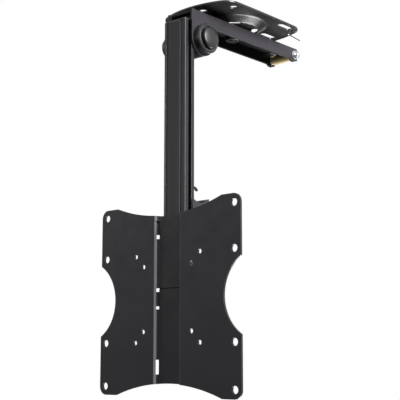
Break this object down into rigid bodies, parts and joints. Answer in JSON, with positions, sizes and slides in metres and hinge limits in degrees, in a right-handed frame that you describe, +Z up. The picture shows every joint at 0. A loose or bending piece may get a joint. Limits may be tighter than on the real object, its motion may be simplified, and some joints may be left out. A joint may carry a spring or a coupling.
{
  "type": "tv ceiling mount",
  "caption": "Fold-down ceiling mount for a small flat television: swivelling arm, slotted column that folds up onto a latch, and a waisted screen plate.",
  "frame": {"origin": "swivel axis on the face of the ceiling plate that lies against the ceiling", "axes": "+Z up into the ceiling, -Y the way the screen plate faces, +X across the screen plate"},
  "size_m": [0.218, 0.2314, 0.465],
  "materials": {
    "black_steel": "satin black powder coat",
    "black_aluminium": "satin black anodised",
    "black_plastic": "satin moulded",
    "zinc_steel": "zinc plated",
    "black_screws": "black oxide",
    "bright_wire": "bright nickel plated",
    "roller_brass": "dull drawn brass"
  },
  "bodies": {
    "base": {"ceiling_plate": "black_steel", "swivel_bolt": "black_screws", "swivel_nut": "black_screws", "cable_hook": "bright_wire"},
    "arm": {"swivel_friction_washer": "black_plastic", "swivel_washer": "black_screws", "arm_channel": "black_steel", "hub_barrel_left": "black_plastic", "hub_barrel_right": "black_plastic", "hub_cap_left": "black_plastic", "hub_cap_right": "black_plastic", "hinge_bolt": "zinc_steel", "hinge_nut": "zinc_steel", "roller_bolt": "zinc_steel", "roller_washers": "zinc_steel", "roller_nut": "zinc_steel"},
    "roller": {"roller": "roller_brass"},
    "column": {"hinge_knuckle": "black_steel", "hinge_friction_washers": "black_plastic", "knuckle_screws": "black_screws", "knuckle_nut_plate": "black_steel", "column": "black_aluminium", "column_top_cap": "black_plastic", "column_bottom_cap": "black_plastic", "mounting_bracket": "black_steel", "slot_nuts": "black_screws", "slot_screws": "black_screws", "tv_plate": "black_steel", "latch_pin": "zinc_steel", "latch_spacer": "black_plastic", "latch_spring": "zinc_steel", "latch_clip": "zinc_steel"},
    "latch": {"latch_hook": "black_steel"}
  },
  "joints": [
    {"name": "arm_swivel", "type": "hinge", "parent": "base", "child": "arm", "pos_m": [0, 0, 0], "axis": [0, 0, 1], "continuous": true},
    {"name": "column_fold", "type": "hinge", "parent": "arm", "child": "column", "pos_m": [0, -0.079, -0.0445], "axis": [1, 0, 0], "range_deg": [0, 90]},
    {"name": "latch_turn", "type": "hinge", "parent": "column", "child": "latch", "pos_m": [0, -0.082, -0.251], "axis": [-1, 0, 0], "range_deg": [0, 9], "stiffness_Nm_per_rad": 0.05, "springref_deg": -20.05},
    {"name": "roller_spin", "type": "hinge", "parent": "arm", "child": "roller", "pos_m": [0, 0.1057, -0.02], "axis": [1, 0, 0], "continuous": true}
  ]
}
